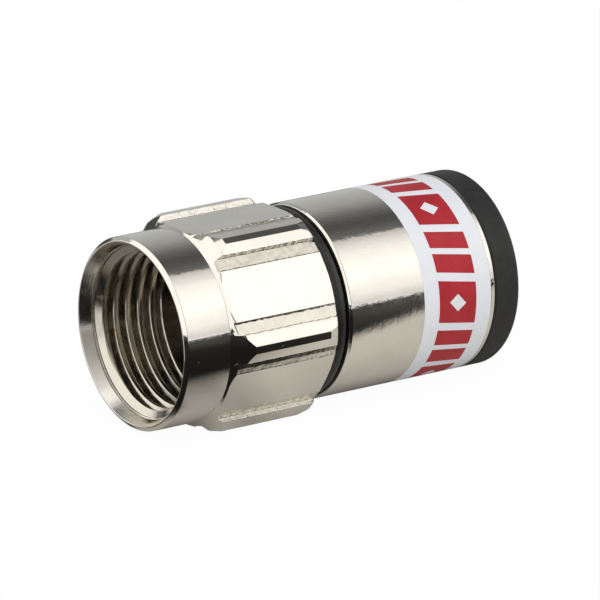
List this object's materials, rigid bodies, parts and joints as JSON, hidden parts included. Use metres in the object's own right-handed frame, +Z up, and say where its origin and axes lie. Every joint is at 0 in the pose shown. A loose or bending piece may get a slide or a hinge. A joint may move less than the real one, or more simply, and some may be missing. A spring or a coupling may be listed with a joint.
{
  "type": "coaxial connector",
  "caption": "Plug for a coaxial television cable with a freely turning ribbed hexagon nut, a plated body with a label band and a black clamp ring.",
  "frame": {"origin": "under the middle of the connector's length, on the surface that it lies on", "axes": "+X along the connector's axis from the nut's mouth to the cable's entry, +Z up with a flat of the nut down, +Y across"},
  "size_m": [0.0224, 0.0124, 0.0111],
  "materials": {
    "nut_plating": "bright nickel plating over brass",
    "post_plating": "nickel plating over brass",
    "seal_rubber": "moulded, smooth",
    "body_plating": "bright nickel plating over brass",
    "label_film": "satin white film with red print",
    "clamp_plastic": "moulded, fine matt"
  },
  "bodies": {
    "connector_body": {"body_shell": "body_plating", "post": "post_plating", "nut_seal_ring": "seal_rubber", "label_band": "label_film", "clamp_ring": "clamp_plastic"},
    "nut": {"coupling_nut": "nut_plating"}
  },
  "joints": [
    {"name": "nut_spin", "type": "hinge", "parent": "connector_body", "child": "nut", "pos_m": [-0.00183, 0, 0.00556], "axis": [1, 0, 0], "continuous": true}
  ]
}
